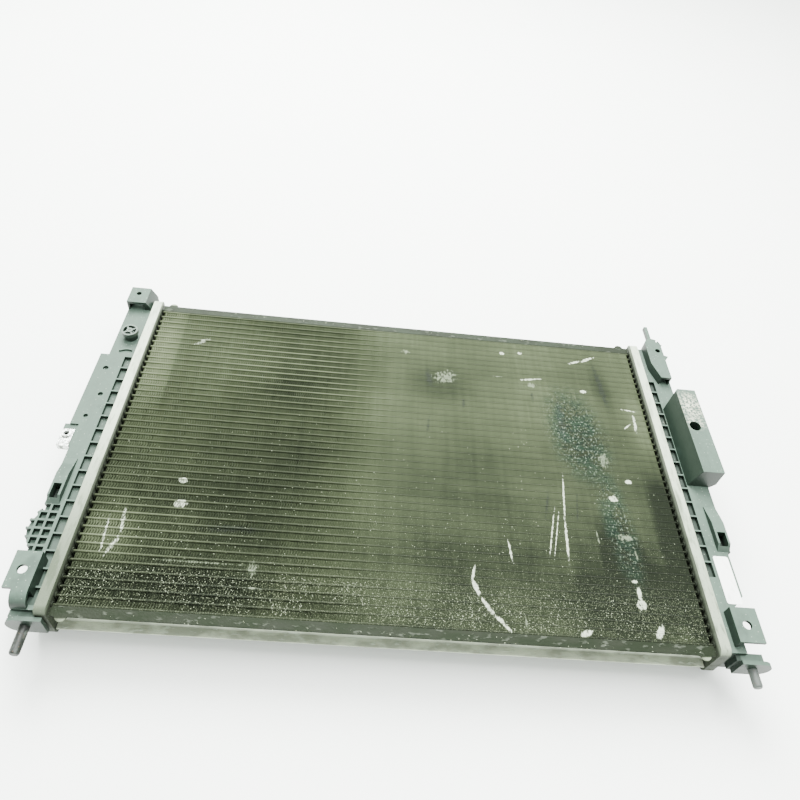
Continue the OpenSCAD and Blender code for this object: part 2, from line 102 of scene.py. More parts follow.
class Value:
    """A number that varies from place to place, written in sums like any other number."""

    def __init__(self, graph, socket):
        self.graph, self.socket = graph, socket

    def __add__(self, other): return self.graph.math("ADD", self, other)
    def __radd__(self, other): return self.graph.math("ADD", other, self)
    def __sub__(self, other): return self.graph.math("SUBTRACT", self, other)
    def __rsub__(self, other): return self.graph.math("SUBTRACT", other, self)
    def __mul__(self, other): return self.graph.math("MULTIPLY", self, other)
    def __rmul__(self, other): return self.graph.math("MULTIPLY", other, self)
    def __truediv__(self, other): return self.graph.math("DIVIDE", self, other)
    def __mod__(self, other): return self.graph.math("FLOORED_MODULO", self, other)
    def __gt__(self, other): return self.graph.math("GREATER_THAN", self, other)
    def clamp(self): return self.graph.math("ADD", self, 0, clamp=True)
    def largest(self, other): return self.graph.math("MAXIMUM", self, other)
    def size(self): return self.graph.math("ABSOLUTE", self)


class Graph:
    """A tree of nodes. node() adds one: its kind, its settings and what its sockets hold."""

    def __init__(self, tree):
        self.tree = tree

    def node(self, kind, settings=(), sockets=()):
        made = self.tree.nodes.new(kind)
        for name, setting in dict(settings).items():
            if name == "stops":
                ramp = made.color_ramp
                while len(ramp.elements) < len(setting):
                    ramp.elements.new(0.5)
                for element, (place, colour) in zip(ramp.elements, setting):
                    element.position = place
                    element.color = (*colour, 1)
            else:
                setattr(made, name, setting)
        for name, held in dict(sockets).items():
            socket = made.inputs[name]
            held = held.socket if isinstance(held, Value) else held
            if isinstance(held, bpy.types.NodeSocket):
                self.tree.links.new(held, socket)
            else:
                socket.default_value = held
        return made

    def math(self, operation, first, second=0.0, clamp=False):
        made = self.node("ShaderNodeMath", {"operation": operation, "use_clamp": clamp},
                         {0: first, 1: second})
        return Value(self, made.outputs[0])

    def parts(self, vector):
        split = self.node("ShaderNodeSeparateXYZ", sockets={0: vector})
        return [Value(self, out) for out in split.outputs]


class Finish(Graph):
    """One material. Patterns are in metres on Object coordinates; constants go on the shader."""

    def __init__(self, name, **constants):
        self.material = bpy.data.materials.new(name)
        self.material.use_nodes = True
        super().__init__(self.material.node_tree)
        self.shader = self.tree.nodes["Principled BSDF"]
        for label, constant in constants.items():
            self.shader.inputs[label.replace("_", " ")].default_value = constant
        self.place = self.node("ShaderNodeTexCoord").outputs["Object"]
        self.x, self.y, self.z = self.parts(self.place)
        self.facing = self.parts(self.node("ShaderNodeNewGeometry").outputs["Normal"])

    def stretched(self, scale, offset=0.0):
        """Coordinates of a pattern with `scale` repeats a metre along each axis."""
        scale = scale if isinstance(scale, tuple) else (scale, scale, scale)
        made = self.node("ShaderNodeMapping", {"vector_type": "POINT"},
                         {"Vector": self.place, "Location": (offset, offset * 0.7, offset * 1.3),
                          "Scale": scale})
        return made.outputs[0]

    def noise(self, scale, detail=3.0, offset=0.0):
        made = self.node("ShaderNodeTexNoise", sockets={
            "Vector": self.stretched(scale, offset), "Scale": 1.0, "Detail": detail,
            "Roughness": 0.55})
        return Value(self, made.outputs["Fac"])

    def spots(self, scale, size, offset=0.0):
        """Scattered round spots, 1 inside and 0 outside; size is their share of a cell."""
        cells = self.node("ShaderNodeTexVoronoi", sockets={
            "Vector": self.stretched(scale, offset), "Scale": 1.0, "Randomness": 1.0})
        return self.band(Value(self, cells.outputs["Distance"]), size, size * 0.6)

    def band(self, value, low, high):
        """0 below low, 1 above high and smooth between; it falls where low is above high."""
        start, end = (low, high) if low < high else (high, low)
        ends = (0.0, 1.0) if low < high else (1.0, 0.0)
        made = self.node("ShaderNodeMapRange", {"interpolation_type": "SMOOTHSTEP"},
                         {"Value": value, "From Min": start, "From Max": end,
                          "To Min": ends[0], "To Max": ends[1]})
        return Value(self, made.outputs["Result"])

    def blend(self, share, first, second, mode="MIX"):
        made = self.node("ShaderNodeMix", {"data_type": "RGBA", "blend_type": mode},
                         {"Factor": share})
        for socket, colour in ((made.inputs[6], first), (made.inputs[7], second)):
            if isinstance(colour, bpy.types.NodeSocket):
                self.tree.links.new(colour, socket)
            else:
                socket.default_value = (*colour, 1)
        return made.outputs[2]

    def mark(self, centre, size, turn=0.0, edge=0.5):
        """A soft ellipse in the core's plane, in millimetres; `edge` is its blurred share."""
        any_height = 1e3
        moved = self.node("ShaderNodeMapping", {"vector_type": "TEXTURE"}, {
            "Vector": self.place, "Location": (centre[0] * MM, centre[1] * MM, 0),
            "Rotation": (0, 0, math.radians(turn)),
            "Scale": (size[0] * MM, size[1] * MM, any_height)})
        reach = self.node("ShaderNodeVectorMath", {"operation": "LENGTH"}, {0: moved.outputs[0]})
        return self.band(Value(self, reach.outputs["Value"]), 1 + edge / 2, max(1 - edge, 0.02))

    def stroke(self, start, end, width, edge=0.5):
        """A thin soft ellipse from one point to another, in millimetres."""
        overlap = 0.72      # half-length over the distance between its ends
        x, y = start[0] - end[0], start[1] - end[1]
        centre = ((start[0] + end[0]) / 2, (start[1] + end[1]) / 2)
        return self.mark(centre, (width, math.hypot(x, y) * overlap),
                         math.degrees(math.atan2(-x, y)), edge)

    def finish(self, colour, rough=None, height=None, relief=0.0002, metal=None):
        """Connects colour, roughness, metalness and a height in metres of relief."""
        self.tree.links.new(colour, self.shader.inputs["Base Color"])
        for name, value in (("Roughness", rough), ("Metallic", metal)):
            if value is not None:
                self.tree.links.new(value.socket, self.shader.inputs[name])
        if height is not None:
            bump = self.node("ShaderNodeBump", sockets={
                "Height": height, "Distance": relief, "Strength": 0.8})
            self.tree.links.new(bump.outputs[0], self.shader.inputs["Normal"])
        return self.material


class Maker(Graph):
    """A Geometry Nodes tree whose named inputs are the sizes of what it makes."""

    def __init__(self, name, **sizes):
        tree = bpy.data.node_groups.new(name, "GeometryNodeTree")
        super().__init__(tree)
        self.name, self.sizes = name, sizes
        tree.interface.new_socket("Geometry", in_out="OUTPUT", socket_type="NodeSocketGeometry")
        for label, size in sizes.items():
            kind = "NodeSocketInt" if isinstance(size, int) else "NodeSocketFloat"
            tree.interface.new_socket(label, in_out="INPUT", socket_type=kind)
        self.source = self.node("NodeGroupInput")

    def size(self, label):
        return Value(self, self.source.outputs[label])

    def geometry(self, kind, settings=(), sockets=(), out=0):
        return self.node("GeometryNode" + kind, settings, sockets).outputs[out]

    def vector(self, x=0.0, y=0.0, z=0.0):
        return self.node("ShaderNodeCombineXYZ", sockets={"X": x, "Y": y, "Z": z}).outputs[0]

    def random(self, low, high, seed):
        made = self.node("FunctionNodeRandomValue", {"data_type": "FLOAT_VECTOR"},
                         {0: low, 1: high, "Seed": seed})
        return made.outputs[0]

    def noise(self, scale, detail=2.0):
        made = self.node("ShaderNodeTexNoise", sockets={
            "Vector": self.geometry("InputPosition"), "Scale": scale, "Detail": detail})
        return Value(self, made.outputs["Fac"]) - 0.5

    def joined(self, *parts):
        join = self.node("GeometryNodeJoinGeometry")
        for part in parts:
            self.tree.links.new(part, join.inputs[0])
        return join.outputs[0]

    def thickened(self, sheet, thick):
        """A closed wall grown from a sheet of faces."""
        grown = self.geometry("ExtrudeMesh", {"mode": "FACES"},
                              {"Mesh": sheet, "Offset Scale": thick, "Individual": False})
        back = self.geometry("FlipFaces", sockets={"Mesh": sheet})
        return self.geometry("MergeByDistance", sockets={
            "Geometry": self.joined(grown, back), "Distance": 1e-6})

    def made(self, piece, shape, material, **changes):
        """Bakes the tree with these sizes into a plain mesh object."""
        real = self.geometry("RealizeInstances", sockets={"Geometry": shape})
        painted = self.geometry("SetMaterial", sockets={"Geometry": real, "Material": material})
        end = self.node("NodeGroupOutput")
        self.tree.links.new(painted, end.inputs[0])
        return self.again(piece, **changes)

    def again(self, piece, **changes):
        """Another piece from the same tree, at changed sizes."""
        carrier = new_object(piece, bpy.data.meshes.new(piece))
        modifier = carrier.modifiers.new(self.name, "NODES")
        modifier.node_group = self.tree
        values = {**self.sizes, **changes}
        for socket in self.tree.interface.items_tree:
            if socket.in_out == "INPUT":
                modifier[socket.identifier] = values[socket.name]
        return baked(carrier)


# ---- objects ----

def new_object(name, mesh):
    made = bpy.data.objects.new(name, mesh)
    bpy.context.scene.collection.objects.link(made)
    return made


def baked(piece):
    """Applies a piece's modifiers, so that it is left as a plain mesh."""
    bpy.context.view_layer.update()
    graph = bpy.context.evaluated_depsgraph_get()
    mesh = bpy.data.meshes.new_from_object(piece.evaluated_get(graph))
    piece.modifiers.clear()
    piece.data = mesh
    mesh.name = piece.name
    return piece


def kept(piece, body="radiator"):
    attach(piece, body)
    return piece


def moulded(node, material, edge, body="radiator", segments=2):
    """A copy of a CAD node with its faces joined up and its edges rounded."""
    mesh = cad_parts[node].data.copy()
    work = bmesh.new()
    work.from_mesh(mesh)
    bmesh.ops.remove_doubles(work, verts=work.verts, dist=WELD)
    bmesh.ops.dissolve_limit(work, angle_limit=math.radians(0.6), verts=work.verts,
                             edges=work.edges)
    work.to_mesh(mesh)
    work.free()
    piece = new_object(node + "_finished", mesh)
    mesh.materials.clear()
    mesh.materials.append(material)
    bevel = piece.modifiers.new("edges", "BEVEL")
    bevel.width = edge
    bevel.segments = segments
    bevel.limit_method = "ANGLE"
    bevel.angle_limit = math.radians(32)
    even = piece.modifiers.new("shading", "WEIGHTED_NORMAL")
    even.keep_sharp = True
    mesh.shade_smooth()
    baked(piece)
    piece.data.set_sharp_from_angle(angle=math.radians(50))
    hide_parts(node)
    return kept(piece, body)


def repaint(node, material):
    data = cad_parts[node].data
    data.materials.clear()
    data.materials.append(material)


# ---- the core's dirt and painted shade, the same on tubes, fins and packed dust ----

# Broad tones of the front face: centre, size, turn and how much lighter (or darker) each is.
SHADES = (
    ((-262, 112), (22, 66), 0, 0.26), ((-214, 112), (60, 60), 0, 0.14),
    ((-120, 166), (90, 15), 0, -0.12), ((-125, -30), (75, 110), 0, -0.14),
    ((-196, -156), (110, 26), 0, -0.24), ((-50, -165), (34, 16), 0, -0.14),
    ((46, 100), (36, 30), 0, -0.16), ((190, 45), (25, 54), 8, -0.2),
    ((212, -92), (20, 42), 6, -0.26), ((228, 118), (12, 46), 6, -0.18),
    ((268, -90), (17, 100), 3, -0.34), ((150, 40), (50, 110), 0, 0.08),
    ((60, 45), (60, 36), 0, 0.08), ((-249, -108), (26, 30), 0, 0.26),
    ((215, -135), (70, 34), 0, -0.16), ((262, 62), (13, 60), 0, 0.14),
)
# Chalky scratches and bent fins: where each starts and ends, and half its width.
SCRATCHES = (
    ((-229, 128), (-213, 140), 2.8), ((-243, -83), (-240, -110), 2.4),
    ((-240, -110), (-248, -131), 3), ((-254, -91), (-252, -130), 1.6),
    ((71, -117), (67, -132), 2.2), ((67, -128), (74, -148), 3.2), ((73, -145), (85, -163), 2.7),
    ((84, -160), (100, -177), 2.6), ((103, -89), (106, -112), 1.7), ((166, -12), (161, -62), 1.5),
    ((161, -57), (158, -110), 1.8), ((152, -51), (140, -106), 1.1), ((156, -54), (145, -104), 0.9),
    ((197, 151), (212, 157), 2.6), ((211, 155), (228, 165), 2.8), ((259, 80), (257, 53), 2.4),
    ((262, 84), (246, 86), 1.4), ((253, 66), (244, 57), 1.4), ((136, 118), (161, 122), 2.2),
)
# Round splashes of the same chalk: centre, size and turn.
SPLASHES = (
    ((-200, -50), (5, 3.6), 0), ((-197, -75), (7.5, 5), 10), ((207, 108), (4.5, 3), 0),
    ((234, -12), (4.6, 3.4), 0), ((214, -34), (6.5, 4.6), 0), ((216, -122), (4, 2), 0),
    ((218, -134), (2.6, 8), 0), ((218, -144), (6, 6), 0), ((229, -168), (4, 9), -32),
    ((163, -173), (7, 3.6), 24), ((118, 158), (3.4, 3), 0), ((140, 161), (3.4, 3), 0),
)
# Fainter ones, under which the dirt still shows.
FAINT_SPLASHES = (
    ((213, 13), (8, 15), 0), ((148, 111), (9, 7), 0), ((218, -77), (14, 6), 0),
    ((-123, -134), (7, 12), 0), ((5, 146), (8, 5), 0), ((-170, -131), (66, 1.5), 0),
    ((112, -168), (1.6, 13), 4), ((224, -97), (1.4, 12), 4), ((190, -80), (1.4, 14), 3),
    ((110, 120), (9, 1.2), 0), ((50, 112), (20, 15), 30), ((-120, -152), (12, 3), 0),
)
# Dark, wet-looking streaks, given like the scratches.
STREAKS = (
    ((32, 54), (29, 28), 2.3), ((70, 82), (69, 70), 3), ((149, -30), (142, -63), 2.2),
    ((177, -34), (173, -65), 1.3), ((147, 100), (147, 86), 3), ((30, 122), (34, 96), 5),
    ((226, 150), (232, 84), 5), ((176, 92), (174, 30), 7), ((-176, -98), (-120, -96), 5),
)


def ragged(paint, share, low=0.62, high=0.95):
    """A mark with torn outlines and small gaps, from its smooth share of cover."""
    torn = paint.noise((420, 260, 300), 5, 3.1) - 0.5
    combed = paint.noise((1500, 260, 400), 3, 8.2) - 0.5
    return paint.band(share + torn * 1.7 + combed * 0.9, low, high)


def cover(marks):
    """The union of several marks."""
    total = marks[0]
    for one in marks[1:]:
        total = total.largest(one)
    return total


def core_tone(paint):
    """Lightness of the front face from 0 to 1, with its soot, rain streaks and grain, and painted
    shade that darkens it deeper into the core.
    """
    tone = 0.42 + paint.y * 0.6 + paint.x * 0.16
    for centre, size, turn, change in SHADES:
        tone = tone + paint.mark(centre, size, turn, 0.8) * change
    water_strip = paint.band(paint.x, -0.2435, -0.2445) * paint.band(paint.y, 0.02, 0.06)
    tone = tone + water_strip * 0.12
    cloud = paint.noise((14, 18, 10), 4, 1.7) - 0.5
    runs = paint.noise((260, 9, 30), 3, 5.2) - 0.5
    wiped = paint.noise((8, 150, 30), 3, 2.2) - 0.5
    grain = paint.noise(1500, 2, 0.4) - 0.5
    # front is 1 at the front face and 0 nine millimetres in.
    front = paint.band(paint.z, FRONT - 9 * MM, FRONT - 1 * MM)
    tone = tone - paint.band(paint.x, -0.06, 0.06) * paint.band(paint.y, 0.14, -0.08) * 0.1
    tone = tone - paint.band(paint.x, -0.06, 0.06) * 0.11
    # Painted shade: multiplying by front darkens the tone to a quarter deep between the fins and
    # tubes.
    return (tone + cloud * 0.4 + runs * 0.18 + wiped * 0.16 + grain * 0.2) * (0.25 + 0.75 * front)


def core_finish(name, dark, middle, light, rough, open_lift=0.0):
    """Aluminium of the core under its dirt and painted shade; front marks stay within the first
    millimetres.
    """
    paint = Finish(name, Metallic=0.1, Specular_IOR_Level=0.15)
    # open_zone marks two open areas of the core: there the tubes are lighter, and the packed dust,
    # given a negative open_lift, is darker as painted shade of its deeper gaps.
    open_zone = paint.mark((-112, 100), (80, 60), 0, 0.7).largest(
        paint.mark((-214, -100), (80, 60), 0, 0.7) * 0.7)
    tone = core_tone(paint) + open_zone * open_lift
    ramp = paint.node("ShaderNodeValToRGB", {"stops": ((0.05, dark), (0.45, middle),
                                                       (0.95, light))}, {"Fac": tone})
    near_front = paint.band(paint.z, FRONT - 3.5 * MM, FRONT - 1.9 * MM)
    chalk = ragged(paint, cover([paint.stroke(*held, 0.8) for held in SCRATCHES]
                                + [paint.mark(*held) for held in SPLASHES])) * near_front
    faint = ragged(paint, cover([paint.mark(*held, 0.9) for held in FAINT_SPLASHES]) * 0.9)
    wet = ragged(paint, cover([paint.stroke(*held, 0.9) for held in STREAKS]), 0.4, 1.1)
    corroded = paint.mark((190, 46), (32, 64), 8, 0.6).largest(
        paint.mark((213, -60), (15, 70), 4, 0.6) * 0.8)
    frost = corroded * paint.band(paint.noise((520, 380, 300), 5, 9.4), 0.54, 0.68) * near_front
    pitted = corroded * paint.band(paint.noise((300, 260, 300), 4, 4.9), 0.5, 0.6)
    teal = corroded * paint.band(paint.noise(60, 3, 4.4), 0.4, 0.6)
    salt = paint.spots(640, 0.2, 2.2) * paint.band(paint.y, 0.03, -0.15) * near_front
    salt_low = paint.spots(900, 0.3, 7.7) * paint.band(paint.y, -0.11, -0.15) * near_front
    colour = paint.blend(wet * 0.75, ramp.outputs[0], (0.004, 0.007, 0.0035))
    colour = paint.blend(teal * 0.5, colour, (0.006, 0.022, 0.014))
    colour = paint.blend(pitted * 0.85, colour, (0.003, 0.008, 0.005))
    colour = paint.blend((salt * 0.45 + salt_low * 0.5).clamp(), colour, (0.19, 0.22, 0.14))
    colour = paint.blend(frost * 0.6, colour, (0.17, 0.22, 0.16))
    colour = paint.blend(faint * near_front * 0.5, colour, (0.21, 0.25, 0.17))
    colour = paint.blend(chalk * 0.9, colour, (0.42, 0.47, 0.36))
    return paint.finish(colour, rough=(rough - wet * 0.25 + paint.noise(700, 2, 8.0) * 0.2),
                        height=paint.noise(1800, 3, 6.5) + chalk * 1.5, relief=0.00025)


# ---- materials ----

def header_aluminium():
    """Chalky brazed sheet with faint grey scuffs and salt; painted shade darkens the faces that
    don't face up and the foot where it meets the core.
    """
    paint = Finish("header_aluminium", Specular_IOR_Level=0.3)
    scuffs = paint.band(paint.noise((120, 26, 120), 5, 2.0), 0.5, 0.72)
    pits = paint.spots(420, 0.22, 4.0)
    lower = paint.band(paint.y, 0.06, -0.17)
    side_face_shade = paint.band(paint.facing[2], 0.85, 0.2)
    core_foot_shade = paint.band(paint.z, FRONT + 6 * MM, FRONT + 1 * MM)
    left = paint.band(paint.x, 0.1, -0.1)
    torn = paint.band(paint.noise((330, 70, 330), 5, 7.1), 0.5, 0.66)
    colour = paint.blend(scuffs * 0.6, (0.4, 0.46, 0.35), (0.15, 0.18, 0.13))
    colour = paint.blend(torn * (0.3 + lower * 0.4), colour, (0.1, 0.125, 0.08))
    colour = paint.blend((lower * (0.5 + left * 0.45 + scuffs * 0.3)).clamp(), colour,
                         (0.06, 0.078, 0.048))
    colour = paint.blend(pits * (0.2 + lower * 0.4), colour, (0.12, 0.13, 0.1))
    # Painted shade: faces that don't face up are darkened.
    colour = paint.blend(side_face_shade * 0.6, colour, (0.05, 0.06, 0.042))
    # Painted shade in the corner where the header plate meets the core.
    colour = paint.blend(core_foot_shade * 0.9, colour, (0.014, 0.018, 0.01))
    return paint.finish(colour, rough=0.6 + scuffs * 0.25, metal=0.12 - scuffs * 0.1,
                        height=paint.noise(900, 4, 1.0) - pits * 0.8)


def collar_dirt():
    """Soot and flux that cover the brazed collars."""
    paint = Finish("collar_dirt", Specular_IOR_Level=0.15)
    scraped = paint.band(paint.noise((700, 300, 700), 4, 6.6), 0.56, 0.7)
    colour = paint.blend(scraped * 0.6, (0.006, 0.0085, 0.0045), (0.06, 0.072, 0.045))
    return paint.finish(colour, rough=0.75 + scraped * 0.15, height=paint.noise(1400, 3))


def side_plate_aluminium():
    """Corroded channel: olive dirt on its front flange, pale crust on its inside and back."""
    paint = Finish("side_plate_aluminium", Specular_IOR_Level=0.12)
    dirt = paint.band(paint.noise((40, 90, 90), 5, 6.0), 0.4, 0.62)
    crust = paint.band(paint.noise((110, 240, 240), 5, 12.0), 0.55, 0.66)
    upper = paint.band(paint.y, -0.1, 0.1)
    torn = paint.noise((50, 30, 30), 4, 3.3) * 6 * MM
    rear = paint.band(paint.y.size() + torn, UPPER_HIGH.y, UPPER_HIGH.y + 1.5 * MM)
    inside = paint.band(paint.z, FRONT - 2 * MM, FRONT - 5 * MM)
    colour = paint.blend(upper, (0.007, 0.011, 0.0045), (0.017, 0.023, 0.0145))
    colour = paint.blend(rear * 0.45, colour, (0.36, 0.42, 0.29))
    colour = paint.blend(dirt * 0.8, colour, (0.009, 0.012, 0.006))
    colour = paint.blend(inside * (1.0 - dirt * 0.45), colour, (0.42, 0.46, 0.36))
    colour = paint.blend(crust * (0.1 + inside * 0.6), colour, (0.42, 0.47, 0.38))
    return paint.finish(colour, rough=0.6 + crust * 0.3, metal=0.3 - dirt * 0.25,
                        height=paint.noise(600, 5, 3.0) + crust, relief=0.0006)


def tank_plastic(name="tank_plastic", base=(0.008, 0.016, 0.0105),
                 dust_colour=(0.064, 0.1, 0.077)):
    """Glass-filled nylon: dark where it stands upright, pale dust where it lies flat, with painted
    shade beside the rim and in the two sockets.
    """
    paint = Finish(name, Specular_IOR_Level=0.3)
    grain = paint.noise(2400, 2, 1.0)
    flow = paint.noise((60, 18, 60), 4, 3.0)
    up = paint.band(paint.facing[2], 0.35, 0.95)
    dust = up * (0.85 + (flow - 0.5) * 0.7 + (paint.noise(300, 3, 9.0) - 0.5) * 0.4)
    colour = paint.blend(dust.clamp(), base, dust_colour)
    lime_zone = paint.mark((311, 74), (15, 20), 0, 0.8).largest(
        paint.mark((309, 52), (12, 10), 0, 0.8) * 0.8)
    lime = up * lime_zone * paint.band(paint.noise(420, 5, 5.0), 0.44, 0.56)
    specks = up * paint.spots(260, 0.16, 3.0) * 0.5
    stains = paint.band(paint.noise((38, 30, 60), 3, 14.0), 0.56, 0.7) * 0.4
    # Painted shade in the low strip beside the header rim, darker on the right tank.
    rim_groove_shade = paint.band(paint.x.size(), 0.2965, 0.294) * paint.band(
        paint.z, FRONT + 2.4 * MM, FRONT - 1 * MM)
    right = paint.band(paint.x, -0.1, 0.1)
    # Painted shade: the deep floors of the two sockets are coloured near black.
    sockets = paint.mark((-303.5, -76), (7, 9), 0, 0.1).largest(
        paint.mark((309, -76), (7.5, 9), 0, 0.1)) * paint.band(paint.z, FRONT + 4 * MM,
                                                               FRONT + 1 * MM)
    colour = paint.blend(stains, colour, (0.016, 0.03, 0.022))
    colour = paint.blend(rim_groove_shade * (0.4 + right * 0.45), colour, (0.006, 0.012, 0.008))
    colour = paint.blend(specks, colour, (0.24, 0.28, 0.23))
    colour = paint.blend(lime, colour, (0.4, 0.42, 0.32))
    colour = paint.blend(sockets * 0.9, colour, (0.002, 0.005, 0.003))
    return paint.finish(colour, rough=0.45 + dust * 0.3,
                        height=grain * 0.35 + specks * 0.6 + lime * 1.6, relief=0.0002)


def pin_plastic():
    """Dark moulding, worn pale at its edges and specked with rust dust."""
    paint = Finish("pin_plastic", Specular_IOR_Level=0.35)
    wear = paint.band(paint.noise((260, 90, 260), 4, 2.0), 0.5, 0.68)
    rust = paint.band(paint.noise(520, 4, 8.0), 0.6, 0.68)
    right = paint.band(paint.x, -0.1, 0.1)
    colour = paint.blend(right * 0.8, (0.0065, 0.009, 0.0065), (0.064, 0.074, 0.067))
    colour = paint.blend(wear * 0.7, colour, (0.085, 0.098, 0.086))
    colour = paint.blend(rust * 0.6, colour, (0.09, 0.05, 0.025))
    return paint.finish(colour, rough=0.5 + wear * 0.3, height=paint.noise(900, 3) + rust)


def clip_steel():
    """Zinc-plated spring steel with dull patches."""
    paint = Finish("clip_steel")
    dull = paint.band(paint.noise(380, 4, 2.0), 0.44, 0.66)
    colour = paint.blend(dull, (0.6, 0.62, 0.6), (0.22, 0.24, 0.21))
    return paint.finish(colour, rough=0.28 + dull * 0.35, metal=0.95 - dull * 0.4,
                        height=paint.noise(1600, 3))


def label_paper():
    """Blank label, yellowed and rubbed along its edge."""
    paint = Finish("label_paper", Specular_IOR_Level=0.4)
    grime = paint.band(paint.noise((220, 90, 200), 5, 3.0), 0.48, 0.72)
    colour = paint.blend(grime * 0.35, (0.95, 0.98, 0.93), (0.42, 0.47, 0.38))
    return paint.finish(colour, rough=0.5 + grime * 0.3, height=paint.noise(500, 3))


def plain_rubber(name, base):
    """Matt black moulding with fine grain."""
    paint = Finish(name, Specular_IOR_Level=0.35)
    dust = paint.band(paint.noise(300, 4, 2.0), 0.46, 0.75)
    colour = paint.blend(dust * 0.4, base, (0.1, 0.11, 0.1))
    return paint.finish(colour, rough=0.6 + dust * 0.25, height=paint.noise(1500, 3))


def dry_crust():
    """Loose mineral crumbs, off-white to tan."""
    paint = Finish("dry_crust", Specular_IOR_Level=0.2)
    tint = paint.band(paint.noise(45, 3, 2.0), 0.4, 0.66)
    colour = paint.blend(tint, (0.36, 0.41, 0.29), (0.15, 0.17, 0.1))
    return paint.finish(colour, rough=0.8 + tint * 0.15, height=paint.noise(2500, 2))


def studio_floor():
    """Pale seamless floor with a faint mottle."""
    paint = Finish("studio_floor", Specular_IOR_Level=0.2)
    mottle = paint.noise(7, 3, 1.0)
    colour = paint.blend(mottle, (0.93, 0.96, 0.93), (0.97, 0.99, 0.96))
    return paint.finish(colour, rough=0.75 + mottle * 0.1)


# ---- fins, packed dust, tube collars and crumbs ----

def fold_fins(material):
    """Corrugated strips between the tubes, with crests bent over at the front."""
    leg_run = 1.18 * MM
    maker = Maker("fold_fins", legs=int(2 * FIN_REACH / leg_run), leg_run=leg_run, rows=11,
                  pitch=PITCH, gap=GAP - 0.16 * MM, sheet=0.14 * MM, first_row=0.0,
                  front=FRONT - 0.15 * MM, tip=2.6 * MM, depth=DEPTH - 0.4 * MM, bend=1.3 * MM,
                  seed=7)
    legs, gap = maker.size("legs"), maker.size("gap")
    line = maker.geometry("MeshLine", sockets={
        "Count": legs, "Start Location": maker.vector(legs * maker.size("leg_run") * -0.5),
        "Offset": maker.vector(maker.size("leg_run"))})
    crest = Value(maker, maker.geometry("InputIndex")) % 2
    folded = maker.geometry("SetPosition", sockets={
        "Geometry": line, "Offset": maker.vector(0.0, crest * gap)})
    tip = maker.node("GeometryNodeExtrudeMesh", {"mode": "EDGES"}, {
        "Mesh": folded, "Offset": maker.vector(0.0, 0.0, 0.0 - maker.size("tip")),
        "Offset Scale": 1.0})
    body = maker.geometry("ExtrudeMesh", {"mode": "EDGES"}, {
        "Mesh": tip.outputs["Mesh"], "Selection": tip.outputs["Top"], "Offset Scale": 1.0,
        "Offset": maker.vector(0.0, 0.0, maker.size("tip") - maker.size("depth"))})
    strip = maker.thickened(body, maker.size("sheet"))
    rows = maker.geometry("MeshLine", sockets={
        "Count": maker.size("rows"), "Offset": maker.vector(0.0, maker.size("pitch")),
        "Start Location": maker.vector(0.0, maker.size("first_row"), maker.size("front"))})
    shifted = maker.geometry("SetPosition", sockets={
        "Geometry": rows, "Offset": maker.random((-0.0006, 0, 0), (0.0006, 0, 0),
                                                 maker.size("seed"))})
    placed = maker.geometry("InstanceOnPoints", sockets={"Points": shifted, "Instance": strip})
    real = maker.geometry("RealizeInstances", sockets={"Geometry": placed})
    height = maker.parts(maker.geometry("InputPosition"))[2]
    edge = height > FRONT - 1 * MM
    lean = maker.noise(55.0, 3.0) * maker.size("bend") * 3.2 + maker.noise(700.0) * 0.0006
    sink = (maker.noise(240.0) - 0.12).largest(0.0) * -0.004
    shape = maker.geometry("SetPosition", sockets={
        "Geometry": real, "Selection": edge, "Offset": maker.vector(lean, 0.0, sink)})
    pieces = []
    for part in range(4):
        start = -(TUBE_COUNT - 1) / 2 * PITCH + TUBE_THICK / 2 + 0.05 * MM + part * 11 * PITCH
        name = "fins_" + ("lowest", "lower", "upper", "highest")[part]
        if part == 0:
            pieces.append(maker.made(name, shape, material, first_row=start, seed=7))
        else:
            pieces.append(maker.again(name, first_row=start, seed=7 + part))
    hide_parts("core_fins")
    for piece in pieces:
        kept(piece)


def pack_dust(material):
    """Dust and seeds that fill the gaps between the fins, a little behind the front."""
    maker = Maker("pack_dust", rows=TUBE_COUNT - 1, pitch=PITCH, length=2 * FIN_REACH,
                  width=GAP, top=FRONT - 0.3 * MM, thick=2.4 * MM, lumps=0.6 * MM,
                  sunk=1.3 * MM)
    strip = maker.geometry("MeshGrid", sockets={
        "Size X": maker.size("length"), "Size Y": maker.size("width"), "Vertices X": 181,
        "Vertices Y": 4})
    wall = maker.thickened(maker.geometry("FlipFaces", sockets={"Mesh": strip}),
                           maker.size("thick"))
    rows = maker.geometry("MeshLine", sockets={
        "Count": maker.size("rows"), "Offset": maker.vector(0.0, maker.size("pitch")),
        "Start Location": maker.vector(0.0, maker.size("pitch") * -0.5 * (TUBE_COUNT - 2),
                                       maker.size("top"))})
    placed = maker.geometry("InstanceOnPoints", sockets={"Points": rows, "Instance": wall})
    real = maker.geometry("RealizeInstances", sockets={"Geometry": placed})
    x, _, z = maker.parts(maker.geometry("InputPosition"))
    washed = ((0.0 - x) * 14).clamp() * maker.size("sunk")
    lumpy = maker.geometry("SetPosition", sockets={
        "Geometry": real, "Selection": z > FRONT - 2 * MM,
        "Offset": maker.vector(0.0, 0.0, maker.noise(420.0, 4.0) * maker.size("lumps") - washed)})
    kept(maker.made("packed_dust", lumpy, material))


